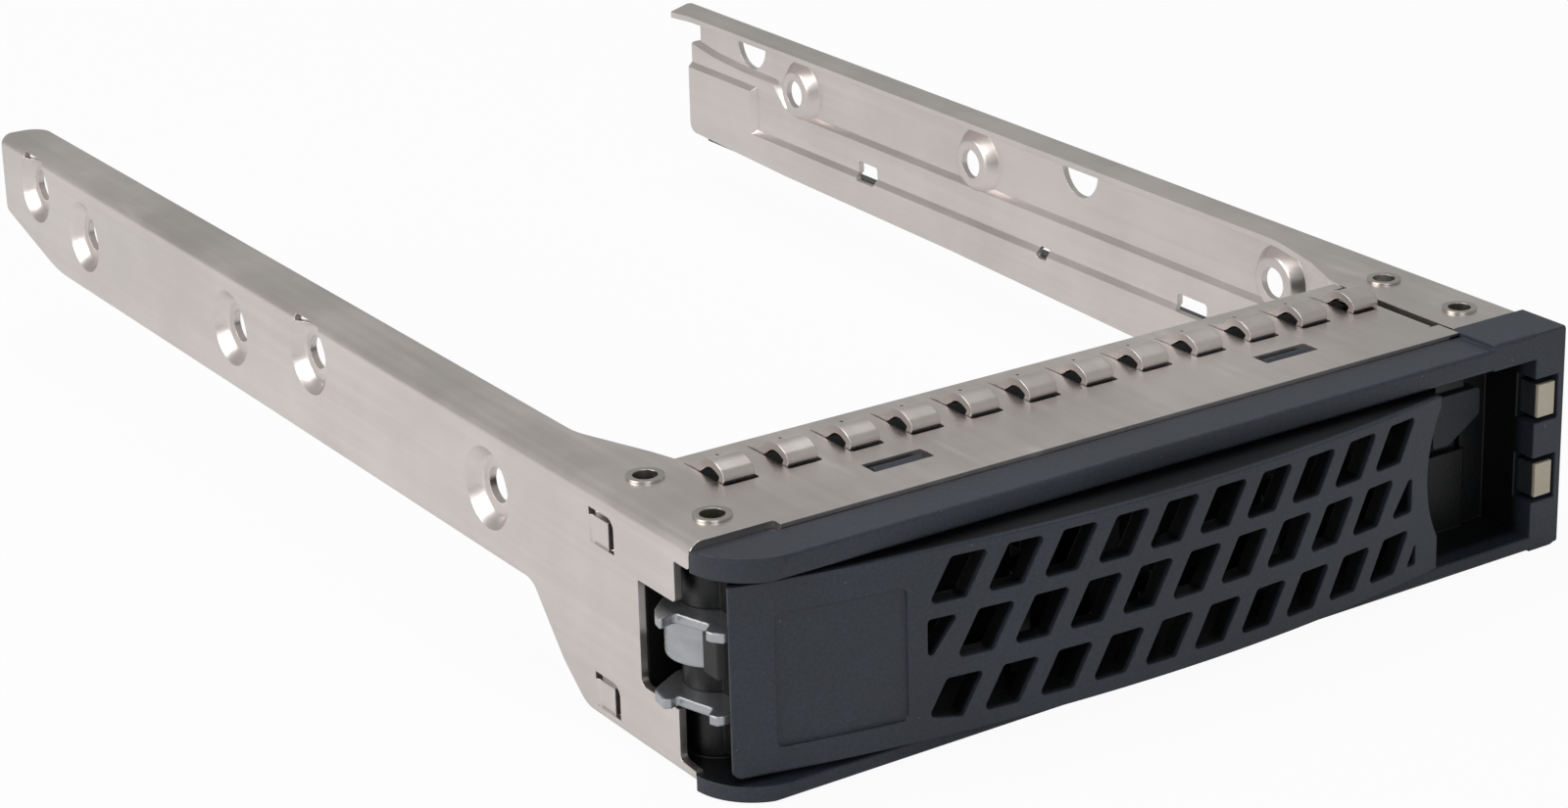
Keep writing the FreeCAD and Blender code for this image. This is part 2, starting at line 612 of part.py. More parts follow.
# Jaws: two steel plates moulded into the hub end, the upper one with a barrel around the hub
upper_plan = [
    (1.2, 3.0, 0.3), (0.5, 3.9, 0.4), (0.3, 4.6, 0.3), (1.4, 5.6, 0.4), (0.2, 9.5, 0.2),
    (-0.4, 9.6, 0.2), (-TOOTH_REACH, 9.2, 0.2), (-1.5, 10.6, 0.5), (-0.9, 11.6, 0.5), (0.9, 13.3, 1.0),
    (3.0, 14.6, 2.0), (7.4, 14.6, 2.0), (10.0, 11.5, 2.0), (18.0, 5.8, 1.0), (18.0, 1.6, 1.0), (4.2, 3.0, 1.0),
]
lower_plan = [
    (1.3, 3.5, 0.3), (0.7, 3.7, 0.3), (0.35, 4.6, 0.3), (1.4, 5.5, 0.4), (0.2, 9.6, 0.1),
    (-0.2, 9.7, 0.1), (-0.7, 9.5, 0.2), (-1.3, 9.9, 0.3), (-0.9, 12.2, 0.6), (0.6, 13.2, 0.8),
    (3.0, 14.6, 2.0), (7.4, 14.6, 2.0), (10.0, 11.5, 2.0), (18.0, 5.8, 1.0), (18.0, 1.6, 1.0), (4.2, 3.2, 1.0),
]
upper_jaw = prism(upper_plan, "xy", JAW_UPPER_TOP - JAW, JAW_UPPER_TOP)
lower_jaw = prism(lower_plan, "xy", JAW_LOWER_TOP - JAW, JAW_LOWER_TOP)
barrel_low = JAW_UPPER_TOP - 5.2
barrel = rod(PIVOT_X, PIVOT_Y, barrel_low, BARREL_RADIUS, JAW_UPPER_TOP - JAW / 2 - barrel_low)
barrel = barrel.cut(rod(PIVOT_X, PIVOT_Y, barrel_low - 1, BARREL_RADIUS - JAW, JAW_UPPER_TOP - JAW - barrel_low + 1))
knuckle = prism(
    [(1.0, 3.8, 0.3), (3.0, 3.0), (5.5, 3.0), (5.5, 6.5), (1.0, 6.5, 0.3)], "xy", JAW_UPPER_TOP - 4.9, JAW_UPPER_TOP - JAW
)
pin_spots = ((11.8, 5.2), (15.6, 4.2))
bush_radius = PIN_RADIUS + PIN_FIT + BUSH_WALL
bush_hole = rod(PIVOT_X, PIVOT_Y, -1, bush_radius, above)
jaw_pins = [rod(x, y, JAW_LOWER_TOP - JAW, 1.2, JAW_UPPER_TOP - JAW_LOWER_TOP + JAW) for x, y in pin_spots]
upper_jaw = fuse([upper_jaw, barrel]).cut(jaw_pins + [bush_hole])
lower_jaw = lower_jaw.cut(jaw_pins + [bush_hole])
grip = fuse([grip, knuckle])
grip = grip.cut([upper_jaw, lower_jaw, bush_hole] + jaw_pins)
save("jaw_upper", upper_jaw)
save("jaw_lower", lower_jaw)
save("jaw_pins", Part.makeCompound(jaw_pins))

# Strike plate on the grip's right end, held by one screw, caught by the latch
strike = box(strike_left, LATCH_LEFT - 1.0, strike_y, strike_y + 1.0, strike_z - 1.3, strike_z + 1.3)
screw_x = strike_left + 2.6
strike_hole = rod(screw_x, strike_y - 5.0, strike_z, 0.75, 8, "y")
strike_screw = fuse([
    rod(screw_x, strike_y - 5.0, strike_z, 0.75, 6.2, "y"),
    Part.makeCone(1.1, 1.5, 0.9, FreeCAD.Vector(screw_x, strike_y + 1.0, strike_z), AXES["y"]),
]).cut(box(screw_x - 0.2, screw_x + 0.2, strike_y + 1.5, strike_y + 3, strike_z - 1.9, strike_z + 1.9))
strike = strike.cut(strike_hole)
strike_room = box(strike_left - 1, LATCH_LEFT, strike_y, LEVER_REAR + 1, strike_z - 1.4, strike_z + 1.4)
grip = grip.cut([strike_hole, strike_room])
save("lever_grip", grip)
save("lever_strike", strike)
save("strike_screw", strike_screw)

# Hinge: tubular rivet through plate, lips, washers and the bush in the grip
lever_bush = rod(PIVOT_X, PIVOT_Y, HUB_LOW, bush_radius, HUB_HIGH - HUB_LOW)
lever_bush = lever_bush.cut(rod(PIVOT_X, PIVOT_Y, -1, PIN_RADIUS + PIN_FIT, above))
save("lever_bush", lever_bush)
rim_height = 0.25
hinge_rivet = fuse([
    rod(PIVOT_X, PIVOT_Y, FOOT - 0.2, PIN_RADIUS, HEIGHT - FOOT + 0.2 + rim_height),
    rod(PIVOT_X, PIVOT_Y, HEIGHT, EYELET_RIM, rim_height),
    rod(PIVOT_X, PIVOT_Y, FOOT - 0.2, EYELET_RIM + 0.4, 0.2),
]).cut(rod(PIVOT_X, PIVOT_Y, HEIGHT - 6, EYELET_BORE, 10))
save("hinge_rivet", hinge_rivet)
washer = HUB_GAP - 0.1
washers = []
for z in (LIP, CEILING - washer):
    ring = rod(PIVOT_X, PIVOT_Y, z, HUB_RADIUS, washer)
    washers.append(ring.cut(rod(PIVOT_X, PIVOT_Y, -1, PIN_RADIUS, above)))
save("hinge_washers", Part.makeCompound(washers))


def eyelet(x, y, low, high, rim):
    """Short tubular rivet with a rim on both sides of the stack from low to high."""
    body = fuse([
        rod(x, y, low - rim, PIN_RADIUS, high - low + 2 * rim),
        rod(x, y, high, EYELET_RIM, rim),
        rod(x, y, low - rim, EYELET_RIM, rim),
    ])
    return body.cut(rod(x, y, low - 1, EYELET_BORE, high - low + 2))


# Eyelets of the plate and of the bottom folds
rear_left = eyelet(EYELET_X, EYELET_REAR, HEIGHT - SHEET, HEIGHT, rim_height)
right_stack = HEIGHT - SHEET - tab_drop
rear_right = eyelet(WIDTH - EYELET_X, EYELET_REAR, right_stack, HEIGHT, rim_height)
front_right = eyelet(WIDTH - EYELET_X, EYELET_FRONT, CEILING, HEIGHT, rim_height)
save("frame_eyelets", Part.makeCompound([rear_left, rear_right, front_right]))
foot_right = eyelet(WIDTH - EYELET_X, EYELET_FRONT, FOOT, LIP, 0.2)

# Shielding screen behind the lever: perforated wall with two folded edges
screen_low = FOOT + SHEET + 0.05
screen_high = CEILING + 1.0
screen_rear = SCREEN_FRONT + SCREEN_EDGE
screen = prism(
    [(screen_rear, screen_low), (SCREEN_FRONT, screen_low, 0.6), (SCREEN_FRONT, screen_high, 0.6),
     (SCREEN_ROOF, screen_high), (SCREEN_ROOF, screen_high - SCREEN),
     (SCREEN_FRONT + SCREEN, screen_high - SCREEN, 0.1), (SCREEN_FRONT + SCREEN, screen_low + SCREEN, 0.1),
     (screen_rear, screen_low + SCREEN)],
    "yz", SCREEN_LEFT, SCREEN_RIGHT,
)
vents = []
vent_pitch = 5.0
for k in range(3):
    z = CEILING - 8.0 + 2.9 * k
    for i in range(int((LATCH_LEFT - 17) / vent_pitch)):
        x = 13.5 + vent_pitch * i
        if any(post - 4.4 < x < post + POST_WIDTH + 1.2 for post in POSTS):
            continue
        vents.append(box(x, x + 3.8, BEZEL_REAR, SCREEN_FRONT + 3, z - 1.0, z + 1.0))
screen_spots = [(post + 2.0, z) for post in (POSTS[0], POSTS[2]) for z in (4.8, CEILING - 2.8)]
screw_holes = [rod(x, BEZEL_REAR - 3.5, z, 1.0, 8, "y") for x, z in screen_spots]
screen = screen.cut(vents + screw_holes)
save("emi_screen", screen)
screws = []
head_y = SCREEN_FRONT + SCREEN
for x, z in screen_spots:
    shank = rod(x, BEZEL_REAR - 3.5, z, 1.0, head_y - BEZEL_REAR + 3.5, "y")
    body = fuse([shank, rod(x, head_y, z, 1.9, 1.1, "y")])
    cross = [box(x - 0.25, x + 0.25, head_y + 0.5, head_y + 2, z - 1.1, z + 1.1),
             box(x - 1.1, x + 1.1, head_y + 0.5, head_y + 2, z - 0.25, z + 0.25)]
    screws.append(body.cut(cross))
save("screen_screws", Part.makeCompound(screws))

# Kick spring: bent leaf riveted to the left post, its tip against the back of the grip
leaf_y = BEZEL_REAR - 4.5
leaf_thick = 0.4
leaf = strip(
    (POSTS[0] + 3.6, leaf_y), 180, [(4.6,), (2.5, 25), (7.0,), (2.5, -25), (1.5,)], leaf_thick,
    "xy", middle_z - 2.5, middle_z + 2.5,
)
rivet_spot = (POSTS[0] + 1.6, middle_z)
leaf_hole = rod(rivet_spot[0], leaf_y - 2, rivet_spot[1], 0.9, 4.5, "y")
leaf_rivet = fuse([
    rod(rivet_spot[0], leaf_y - leaf_thick, rivet_spot[1], 0.9, 2.9, "y"),
    rod(rivet_spot[0], leaf_y - leaf_thick - 0.4, rivet_spot[1], 1.6, 0.4, "y"),
])
leaf = leaf.cut(leaf_hole)
save("kick_spring", leaf)
save("kick_spring_rivet", leaf_rivet)
bezel = bezel.cut(screw_holes + [leaf_hole, foot_right])
bezel = bezel.cut([rear_right, front_right, left_arm, right_arm])
save("bezel", bezel)
save("foot_eyelet", foot_right)

# Latch: front plate with the nose on its left, neck to the stem that runs between the guides
latch_low = LATCH_NECK - 0.4
latch_plate = prism(
    [(LATCH_LEFT - 3.2, LATCH_TOP, 0.4), (LATCH_RIGHT + 0.5, LATCH_TOP, 0.6),
     (LATCH_RIGHT + 0.5, LATCH_TOP - 3.1, 0.5), (LATCH_LEFT + 2.1, latch_low, 0.5),
     (LATCH_LEFT - 0.2, latch_low, 0.4), (LATCH_LEFT - 0.2, LATCH_TOP - 1.8), (LATCH_LEFT - 3.2, LATCH_TOP - 1.8, 0.4)],
    "xz", LATCH_FRONT, LATCH_FRONT + LATCH_PLATE,
)
stem_rear = 12.7
neck = box(LATCH_LEFT, LATCH_RIGHT, LATCH_FRONT + LATCH_PLATE - 0.1, stem_rear, LATCH_NECK + 2.4, LATCH_TOP)
stem = box(LATCH_LEFT, LATCH_RIGHT, LATCH_STEM, stem_rear, LATCH_BOTTOM, LATCH_TOP)
flange = box(LATCH_LEFT - 1.3, LATCH_RIGHT + 1.3, 11.0 + LATCH_FIT, stem_rear, LATCH_BOTTOM, LATCH_TOP)
spring_x = (LATCH_LEFT + LATCH_RIGHT) / 2
spring_y = (LATCH_STEM + stem_rear) / 2
pocket_radius = SPRING_RADIUS + SPRING_WIRE + 0.25
pocket = rod(spring_x, spring_y, LATCH_BOTTOM - 1, pocket_radius, SPRING_TOP - LATCH_BOTTOM + 1)
latch = fuse([latch_plate, neck, stem, flange]).cut(pocket)
save("latch", latch)

# Latch spring: round wire coil between the bezel floor and the pocket's roof
turns = 6
rise = SPRING_TOP - LIP - 2 * SPRING_WIRE
coil = Part.makeHelix(rise / turns, rise, SPRING_RADIUS)
ring = Part.Wire([Part.makeCircle(SPRING_WIRE, FreeCAD.Vector(SPRING_RADIUS, 0, 0), AXES["y"])])
spring = Part.Wire(coil).makePipeShell([ring], True, True)
spring.translate(FreeCAD.Vector(spring_x, spring_y, LIP + SPRING_WIRE))
save("latch_spring", spring)
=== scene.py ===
import json
import math

import bmesh
import bpy
from mathutils import Matrix, Vector


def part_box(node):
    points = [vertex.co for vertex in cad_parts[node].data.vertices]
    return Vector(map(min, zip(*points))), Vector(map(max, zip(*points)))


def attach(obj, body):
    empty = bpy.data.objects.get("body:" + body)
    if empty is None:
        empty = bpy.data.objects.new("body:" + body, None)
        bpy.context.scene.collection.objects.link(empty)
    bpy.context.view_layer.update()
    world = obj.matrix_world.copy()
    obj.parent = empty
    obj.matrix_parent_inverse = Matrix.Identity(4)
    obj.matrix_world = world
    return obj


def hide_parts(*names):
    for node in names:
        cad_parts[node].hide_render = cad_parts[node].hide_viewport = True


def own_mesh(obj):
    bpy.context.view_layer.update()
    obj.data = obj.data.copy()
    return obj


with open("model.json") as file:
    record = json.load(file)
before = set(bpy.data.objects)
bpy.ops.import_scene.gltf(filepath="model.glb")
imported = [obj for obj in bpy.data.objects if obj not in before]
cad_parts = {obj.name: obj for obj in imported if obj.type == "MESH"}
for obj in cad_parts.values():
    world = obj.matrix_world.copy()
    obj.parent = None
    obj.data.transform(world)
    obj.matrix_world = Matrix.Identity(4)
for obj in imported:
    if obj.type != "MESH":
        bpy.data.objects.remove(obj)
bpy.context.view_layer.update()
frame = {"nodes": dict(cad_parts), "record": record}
nodes = frame["nodes"]
body_of = {n: body for body, names in frame["record"]["behaviour"]["bodies"].items() for n in names}
MM = 0.001

# Camera
# Stands where the photograph was taken from, given in the part's own frame.
eye = Vector((-0.20763, -0.33836, 0.15390))
right = Vector((0.802336, -0.59685, -0.005188)).normalized()
forward = Vector((0.566388, 0.764072, -0.308865)).normalized()
up = right.cross(forward)
turn = Matrix((right, up, -forward)).transposed()
camera_data = bpy.data.cameras.new("camera")
camera_data.sensor_width = 36.0
camera_data.lens = 81.77
camera_data.shift_x = -0.1435
camera_data.shift_y = -0.1176
camera = bpy.data.objects.new("camera", camera_data)
camera.matrix_world = Matrix.Translation(eye) @ turn.to_4x4()
bpy.context.scene.collection.objects.link(camera)
bpy.context.scene.camera = camera


# Arms and finger plate
# Two folded sheets of zinc plated steel: the left arm with the plate and its spring fingers,
# and the right arm with its stepped wall. The plating is cloudy over a faint rolled grain, with
# painted shade in the groove under the right flange.
class Sock:
    """A shader socket with plain arithmetic."""

    def __init__(self, tree, socket):
        self.tree = tree
        self.socket = socket

    def node(self, kind, inputs=(), output=0, **settings):
        made = self.tree.nodes.new(kind)
        for name, value in settings.items():
            setattr(made, name, value)
        for key, value in dict(inputs).items():
            if isinstance(value, Sock):
                self.tree.links.new(value.socket, made.inputs[key])
            else:
                made.inputs[key].default_value = value
        return Sock(self.tree, made.outputs[output])

    def maths(self, operation, other):
        return self.node("ShaderNodeMath", {0: self, 1: other}, operation=operation)

    def __add__(self, other):
        return self.maths("ADD", other)

    def __radd__(self, other):
        return self.maths("ADD", other)

    def __mul__(self, other):
        return self.maths("MULTIPLY", other)

    def __rmul__(self, other):
        return self.maths("MULTIPLY", other)

    def smooth(self, low, high, out_low=0.0, out_high=1.0):
        """Soft step from out_low to out_high, as this socket goes from low to high."""
        span = {"From Min": low, "From Max": high, "To Min": out_low, "To Max": out_high}
        return self.node(
            "ShaderNodeMapRange", {"Value": self, **span}, interpolation_type="SMOOTHSTEP"
        )

    def between(self, low, high):
        """Colour between two others, this socket says how far."""
        colour_a, colour_b, colour_out = 6, 7, 2
        ends = {"Factor": self, colour_a: low, colour_b: high}
        return self.node("ShaderNodeMix", ends, output=colour_out, data_type="RGBA")

    def axes(self):
        """The X, Y and Z of this place, as three sockets."""
        apart = self.node("ShaderNodeSeparateXYZ", {"Vector": self}).socket.node
        return [Sock(self.tree, output) for output in apart.outputs]


def finish_start(name):
    """New material: its shader node, and its Object coordinates as a socket."""
    material = bpy.data.materials.new(name)
    material.use_nodes = True
    tree = material.node_tree
    coordinates = tree.nodes.new("ShaderNodeTexCoord")
    return material, tree.nodes["Principled BSDF"], Sock(tree, coordinates.outputs["Object"])


def feed(value, receiver, name):
    value.tree.links.new(value.socket, receiver.inputs[name])


def stretched(place, x, y, z):
    return place.node("ShaderNodeMapping", {"Vector": place, "Scale": (x, y, z)})


def noise(place, scale, detail=2.0, roughness=0.5):
    return place.node(
        "ShaderNodeTexNoise",
        {"Vector": place, "Scale": scale, "Detail": detail, "Roughness": roughness},
    )


def bump(relief, shader, edge, strength, distance):
    """Fine relief, and sharp edges that catch the light as if they were broken by edge mm."""
    broken = relief.node("ShaderNodeBevel", {"Radius": edge * MM}, samples=6)
    made = relief.node(
        "ShaderNodeBump",
        {"Height": relief, "Strength": strength, "Distance": distance, "Normal": broken},
    )
    feed(made, shader, "Normal")


# Near black colour of the painted shade in the seam groove.
painted_seam_shade = (0.05, 0.048, 0.045, 1)


def plated_steel(name, base, worn, rough, grain, edge=0.15, metal=1.0, painted_shade_mask=None):
    """Plated steel: rolled grain along Y, cloudy plating and fine scuffs, and painted shade where a
    mask is given.
    """
    material, shader, place = finish_start(name)
    shader.inputs["Metallic"].default_value = metal
    cloud = noise(place, 38.0, 4.0, 0.6)
    rolled = noise(stretched(place, 900.0, 22.0, 900.0), 1.0, 2.0)
    speck = noise(place, 1500.0, 2.0)
    scuff = noise(stretched(place, 300.0, 60.0, 700.0), 1.0, 1.0).smooth(0.62, 0.72)
    tone = (cloud * 0.75 + rolled * 0.25).smooth(0.34, 0.66)
    plating = tone.between(base, worn)
    if painted_shade_mask:
        plating = painted_shade_mask(place).between(plating, painted_seam_shade)
    feed(plating, shader, "Base Color")
    rough_map = cloud.smooth(0.3, 0.7, rough - 0.04, rough + 0.05) + rolled * 0.05 + scuff * 0.06
    feed(rough_map, shader, "Roughness")
    relief = rolled * grain + speck * (grain * 0.5)
    bump(relief, shader, edge, strength=0.25, distance=0.03 * MM)
    return material


def merged(name):
    """The node's triangles with their doubled corners joined, ready to reshape."""
    shape = bmesh.new()
    shape.from_mesh(nodes[name].data)
    bmesh.ops.remove_doubles(shape, verts=shape.verts, dist=0.002 * MM)
    return shape


crisp_angle = math.radians(32)


def stand_in(name, look, shape):
    """Smooth shaded piece with crisp edges, in place of the CAD node."""
    for face in shape.faces:
        face.smooth = True
    for edge in shape.edges:
        edge.smooth = edge.calc_face_angle(0.0) < crisp_angle
    mesh = bpy.data.meshes.new(name + "_piece")
    shape.to_mesh(mesh)
    shape.free()
    mesh.materials.append(look)
    piece = bpy.data.objects.new(name + "_piece", mesh)
    bpy.context.scene.collection.objects.link(piece)
    even = piece.modifiers.new("even_faces", "WEIGHTED_NORMAL")
    even.mode = "FACE_AREA"
    even.keep_sharp = True
    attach(piece, body_of[name])
    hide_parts(name)
    return piece


def carried(name, look):
    """A CAD node that stays, with its own finish."""
    nodes[name].data.materials.clear()
    nodes[name].data.materials.append(look)


def in_seam(place):
    """One in the groove where the plate's joggled edge passes under the right flange, which gets
    painted shade.
    """
    across, _, height = place.axes()
    right_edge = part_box("right_arm")[0][0]
    joggle, plate_top = 1.8 * MM, 25.0 * MM
    fade_across, fade_down = 0.2 * MM, 0.3 * MM
    beside = across.smooth(right_edge - joggle, right_edge - joggle + fade_across)
    sunk = height.smooth(plate_top - fade_down, plate_top, 1.0, 0.0)
    return beside * sunk


zinc_pale = (0.7, 0.646, 0.622, 1)
zinc_bright = (0.8, 0.745, 0.722, 1)
zinc = dict(base=zinc_pale, worn=zinc_bright, rough=0.3, grain=0.4, edge=0.12)
right_look = plated_steel("zinc_steel_look", **zinc)
# The left arm's steel gets painted shade in the groove where its plate passes under the right
# flange.
left_look = plated_steel("zinc_plate_look", **zinc, painted_shade_mask=in_seam)
stand_in("right_arm", right_look, merged("right_arm"))

# The two side windows near the front of the left arm have a tab each, which lies flat in the
# wall: the tabs of the solid lean inwards over a bend, so the bend and the end are turned back.
left_shape = merged("left_arm_plate")
wall_x, front_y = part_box("left_arm_plate")[0][0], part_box("bezel")[0][1]
bend_start = front_y + 24.8 * MM
bend_radius = 3.0 * MM
bend_angle = math.radians(30)
bend_end = Vector((
    wall_x + bend_radius * (1 - math.cos(bend_angle)),
    bend_start - bend_radius * math.sin(bend_angle),
    0,
))
tab_heights = (1.9 * MM, 4.7 * MM, 19.2 * MM, 22.0 * MM)
tab_inset = 0.2 * MM
tab_length = 3.2 * MM
tab_depth = 2.5 * MM
slack = 0.01 * MM
tab = [
    v for v in left_shape.verts
    if bend_start - tab_length < v.co.y < bend_start - slack and v.co.x < wall_x + tab_depth
    and any(abs(v.co.z - z) < 2 * slack for z in tab_heights)
]
end_way = Vector((math.sin(bend_angle), -math.cos(bend_angle), 0))
end = [v for v in tab if (v.co - bend_end).dot(end_way) > slack]
flat_end = bend_start - bend_radius * bend_angle
for v in tab:
    if v not in end:
        from_centre = Vector((wall_x + bend_radius - v.co.x, bend_start - v.co.y))
        v.co.x = wall_x + bend_radius - from_centre.length
        v.co.y = bend_start - bend_radius * math.atan2(from_centre.y, from_centre.x)
bmesh.ops.rotate(left_shape, verts=end, cent=bend_end, matrix=Matrix.Rotation(-bend_angle, 3, "Z"))
bmesh.ops.translate(left_shape, verts=end, vec=(wall_x - bend_end.x, flat_end - bend_end.y, 0))
bmesh.ops.translate(left_shape, verts=tab, vec=(tab_inset, 0, 0))
stand_in("left_arm_plate", left_look, left_shape)

# Eyelets and rivets
# Tubular steel rivets, rolled over at both ends, that clamp the sheets to the bezel. The hinge
# rivet is the front left one, and the jaw pins run through the grip.
rolled_rim = plated_steel(
    "rivet_steel_look", (0.5, 0.475, 0.44, 1), (0.6, 0.57, 0.53, 1), rough=0.27, grain=0.2
)
for name in ("hinge_rivet", "frame_eyelets"):
    stand_in(name, rolled_rim, merged(name))
for name in ("foot_eyelet", "kick_spring_rivet", "jaw_pins"):
    carried(name, rolled_rim)


# Bezel and lever grip
# Black glass filled plastic, moulded with a fine spark texture. The bezel is held by the eyelets,
# the grip turns on the hinge rivet. Their cavities get painted shade, near black.
dust_grey = (0.2, 0.21, 0.23, 1)
# Near black used as painted shade inside the plastic cavities.
painted_cavity_shade = (0.0025, 0.003, 0.004, 1)


def moulded_black(name, base, light, rough, depth, dust=0.0, edge=0.2, inside=None, sheen=0.38):
    """Moulded plastic: spark textured skin with flow clouds and fine dust, with painted shade near
    black inside where a mask is given.
    """
    material, shader, place = finish_start(name)
    cloud = noise(place, 60.0, 3.0)
    spark = noise(place, 3200.0, 2.0)
    tone = (cloud * 0.5 + spark * 0.5).smooth(0.35, 0.7).between(base, light)
    if dust:
        grit = noise(place, 2600.0, 1.0, 0.2).smooth(0.8, 0.84, 0.0, dust)
        tone = grit.between(tone, dust_grey)
    rough_map = cloud.smooth(0.3, 0.7, rough - 0.04, rough + 0.05) + spark * 0.06
    # Painted shade: near black where the mask says the surface lies in a cavity.
    if inside:
        tone = inside(place).between(tone, painted_cavity_shade)
    feed(tone, shader, "Base Color")
    feed(rough_map, shader, "Roughness")
    shader.inputs["Specular IOR Level"].default_value = sheen
    bump(spark, shader, edge, strength=depth, distance=0.06 * MM)
    return material


bow_radius = 200.0 * MM
low_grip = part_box("lever_grip")[0]
low_bezel, high_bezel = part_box("bezel")
bow_top_x = low_bezel[0] + 52.0 * MM
bow_centre = (bow_top_x, low_grip[1] + bow_radius, 0)
skin_depth = 0.4 * MM
wall_depth = 0.8 * MM


def behind_skin(place):
    """One inside the grip's bowed skin, the walls of the grille, the ribs and the hub, which get
    painted shade.
    """
    flat = stretched(place, 1, 1, 0)
    ends = {0: flat, 1: bow_centre}
    reach = place.node("ShaderNodeVectorMath", ends, output=1, operation="DISTANCE")
    return reach.smooth(bow_radius - wall_depth, bow_radius - skin_depth, 1.0, 0.0)


def behind_lips(place):
    """One in the bezel's cavity, between its lips and left of the end block's outer face, which
    gets painted shade.
    """
    across, along, height = place.axes()
    lower_lip, upper_lip = 1.5 * MM, 22.2 * MM
    front_skin, end_skin = 1.5 * MM, 0.5 * MM
    fade = 0.1 * MM
    deep = along.smooth(low_bezel[1] + front_skin, low_bezel[1] + 2 * front_skin)
    left = across.smooth(high_bezel[0] - 2 * end_skin, high_bezel[0] - end_skin, 1.0, 0.0)
    over = height.smooth(lower_lip, lower_lip + fade)
    under = height.smooth(upper_lip, upper_lip + fade, 1.0, 0.0)
    return deep * left * over * under


skin_dark = (0.021, 0.0255, 0.036, 1)
skin_light = (0.037, 0.0445, 0.061, 1)
skin = dict(base=skin_dark, light=skin_light, rough=0.42, depth=0.35, dust=0.4, edge=0.3, sheen=0.5)
# The grip is painted near black behind its skin, as painted shade.
grip_look = moulded_black("black_plastic_look", **skin, inside=behind_skin)
# The bezel is painted near black in its cavity between the lips, as painted shade.
bezel_look = moulded_black("bezel_plastic_look", **skin, inside=behind_lips)
stand_in("lever_grip", grip_look, merged("lever_grip"))

# The bezel's left corner is cut round again in plan, because the solid's arc has a kink.
corner_radius = 7.0 * MM
corner_planes = 18
bezel_shape = merged("bezel")
corner_centre = Vector((low_bezel[0] + corner_radius, low_bezel[1] + corner_radius, 0))
for k in range(corner_planes):
    angle = math.radians(180 + 90 * (k + 0.5) / corner_planes)
    outward = Vector((math.cos(angle), math.sin(angle), 0))
    cut = bmesh.ops.bisect_plane(
        bezel_shape, geom=bezel_shape.verts[:] + bezel_shape.edges[:] + bezel_shape.faces[:],
        dist=0.0001 * MM, plane_co=corner_centre + outward * corner_radius, plane_no=outward,
        clear_outer=True,
    )
    rim = [item for item in cut["geom_cut"] if isinstance(item, bmesh.types.BMEdge)]
    bmesh.ops.holes_fill(bezel_shape, edges=rim, sides=0)
bmesh.ops.triangulate(bezel_shape, faces=bezel_shape.faces[:])
stand_in("bezel", bezel_look, bezel_shape)

# Jaws
# Two stamped steel plates moulded into the lever's hub end, the upper one with a barrel around
# the hub, bright along their tumbled rims. The strike plate is of the same steel.
jaw_metal = plated_steel(
    "jaw_steel_look", (0.36, 0.37, 0.39, 1), (0.5, 0.51, 0.53, 1),
    rough=0.24, grain=0.3, edge=0.35, metal=0.85,
)
for name in ("jaw_upper", "jaw_lower"):
    stand_in(name, jaw_metal, merged(name))
carried("lever_strike", jaw_metal)

# Hinge bush and washers
# The bush is turned from black acetal and pressed into the grip. The washers are punched from
# black nylon and lie on the bezel's lips.
acetal = moulded_black(
    "bush_acetal_look", (0.012, 0.012, 0.013, 1), (0.02, 0.02, 0.022, 1), rough=0.38, depth=0.1
)
nylon = moulded_black(
    "washer_nylon_look", (0.02, 0.02, 0.021, 1), (0.03, 0.03, 0.032, 1), rough=0.45, depth=0.1
)
carried("lever_bush", acetal)
carried("hinge_washers", nylon)

# Latch and springs
# Dark grey moulded slider in the end block, which catches the lever's strike plate. Its coil of
# blackened wire sits below it and is squeezed as it goes down, and the kick spring is a leaf.
grey = moulded_black(
    "grey_plastic_look", (0.019, 0.0215, 0.027, 1), (0.028, 0.0315, 0.038, 1),
    rough=0.45, depth=0.3,
)
stand_in("latch", grey, merged("latch"))
wire = plated_steel(
    "spring_steel_look", (0.1, 0.1, 0.105, 1), (0.15, 0.15, 0.155, 1), rough=0.33, grain=0.3
)
carried("kick_spring", wire)
latch_spring = stand_in("latch_spring", wire, merged("latch_spring"))
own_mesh(latch_spring)


# Light pipes
# Clear acrylic bars along the right arm. Their bodies are painted dark as painted shade for the
# dark seen through the clear acrylic, and only the frosted front ends in the bezel's notches are
# pale.
def frosted_end(name):
    """Acrylic that is pale and frosted on its front face, glossy behind it and painted dark there
    as painted shade.
    """
    material, shader, place = finish_start(name)
    depth = place.axes()[1]
    pipe_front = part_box("light_pipe_upper")[0][1]
    frost = 0.25 * MM
    front = depth.smooth(pipe_front + frost, pipe_front + 2 * frost, 1.0, 0.0)
    milk = noise(place, 500.0, 2.0).between((0.58, 0.51, 0.38, 1), (0.68, 0.61, 0.48, 1))
    # The clear body is painted dark: painted shade for what is seen through it.
    painted_shade_body = (0.035, 0.038, 0.042, 1)
    feed(front.between(painted_shade_body, milk), shader, "Base Color")
    feed(front.smooth(0.0, 1.0, 0.12, 0.4), shader, "Roughness")
    return material


acrylic = frosted_end("pale_plastic_look")
for name in ("light_pipe_upper", "light_pipe_lower"):
    stand_in(name, acrylic, merged(name))

# Shielding screen and small screws
# Folded and perforated steel sheet behind the lever, coloured near black as painted shade for the
# dark space behind the lever, and held to the bezel by four dark plated screws. One more such screw
# holds the strike plate.
# The screen's near black colour is painted shade for the space behind the lever.
painted = moulded_black(
    "screen_painted_shade_look", (0.005, 0.005, 0.006, 1), (0.009, 0.009, 0.01, 1),
    rough=0.55, depth=0.1, sheen=0.15,
)
dark_screw = plated_steel(
    "screw_steel_look", (0.1, 0.1, 0.105, 1), (0.15, 0.15, 0.16, 1), rough=0.4, grain=0.4
)
carried("emi_screen", painted)
for name in ("screen_screws", "strike_screw"):
    carried(name, dark_screw)

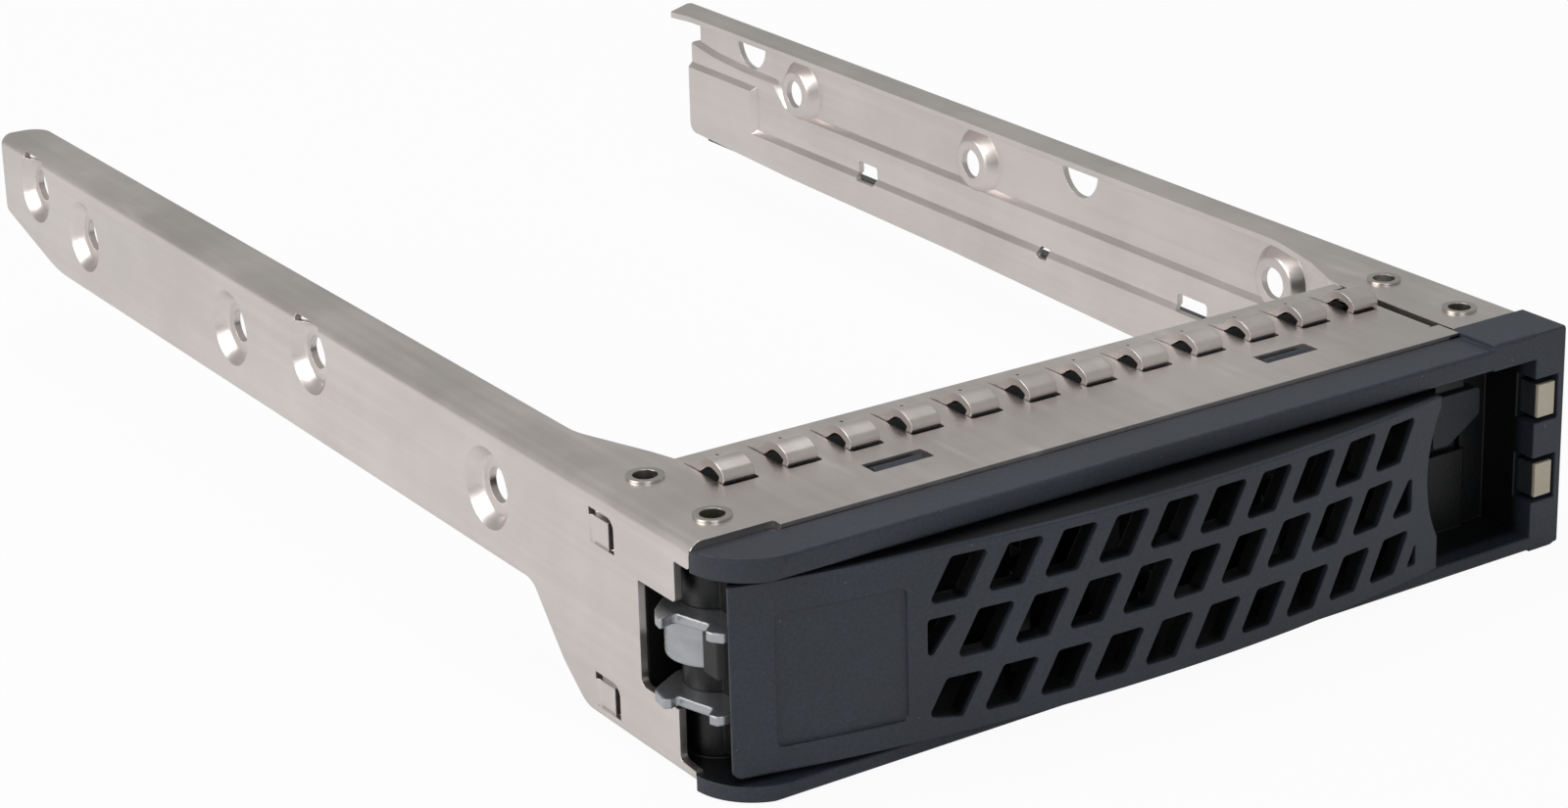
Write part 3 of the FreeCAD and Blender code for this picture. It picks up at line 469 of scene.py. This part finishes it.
# Studio
# Plain pale floor that is white to the camera and keeps a soft shadow, and three soft lamps.
floor_shape = bmesh.new()
bmesh.ops.create_grid(floor_shape, x_segments=1, y_segments=1, size=3.0)
floor_mesh = bpy.data.meshes.new("floor")
floor_shape.to_mesh(floor_mesh)
floor_shape.free()
floor = bpy.data.objects.new("floor", floor_mesh)
floor_gap = 0.3 * MM
floor.data.transform(Matrix.Translation((0, 0, -floor_gap)))
bpy.context.scene.collection.objects.link(floor)
floor_look, floor_shader, floor_place = finish_start("floor_look")
paper = noise(floor_place, 3.0).between((0.7, 0.7, 0.7, 1), (0.74, 0.74, 0.74, 1))
feed(paper, floor_shader, "Base Color")
floor_shader.inputs["Roughness"].default_value = 0.9
white_share = 0.95
mirrored_share = 0.27
to_camera = paper.node("ShaderNodeLightPath", output="Is Camera Ray")
to_gloss = paper.node("ShaderNodeLightPath", output="Is Glossy Ray")
share = to_camera * white_share + to_gloss * mirrored_share
glow = paper.node("ShaderNodeEmission", {"Color": (1, 1, 1, 1), "Strength": 1.0})
shaded = Sock(paper.tree, floor_shader.outputs[0])
lit = paper.node("ShaderNodeMixShader", {0: share, 1: shaded, 2: glow})
feed(lit, paper.tree.nodes["Material Output"], "Surface")
floor.data.materials.append(floor_look)


def softbox(name, place, target, width, height, power, tint=(1, 1, 1)):
    data = bpy.data.lights.new(name, "AREA")
    data.shape = "RECTANGLE"
    data.size = width
    data.size_y = height
    data.energy = power
    data.color = tint
    lamp = bpy.data.objects.new(name, data)
    lamp.location = place
    lamp.rotation_euler = (Vector(target) - Vector(place)).to_track_quat("-Z", "Y").to_euler()
    bpy.context.scene.collection.objects.link(lamp)


warm, cool = (1.0, 0.97, 0.95), (0.93, 0.96, 1.0)
softbox("top_box", (0.0, 0.15, 0.9), (0, 0, 0), width=0.6, height=0.45, power=3.2)
softbox("left_box", (-0.9, 0.1, 0.45), (0, 0.02, 0.01), width=0.7, height=0.5, power=5.2, tint=warm)
softbox("front_box", (-0.3, -0.9, 0.5), (0, 0, 0.01), width=0.5, height=0.3, power=1.7, tint=cool)

world = bpy.data.worlds.new("studio")
world.use_nodes = True
bpy.context.scene.world = world
sky = world.node_tree
ambient = sky.nodes["Background"]
ambient.inputs["Color"].default_value = (0.22, 0.225, 0.232, 1)
shown = {"Is Glossy Ray": (0.37, 0.373, 0.365, 1), "Is Camera Ray": (1, 1, 1, 1)}
surround = Sock(sky, ambient.outputs[0])
for ray, colour in shown.items():
    seen = surround.node("ShaderNodeLightPath", output=ray)
    plain = surround.node("ShaderNodeBackground", {"Color": colour})
    surround = surround.node("ShaderNodeMixShader", {0: seen, 1: surround, 2: plain})
feed(surround, sky.nodes["World Output"], "Surface")
bpy.context.scene.view_settings.view_transform = "Standard"
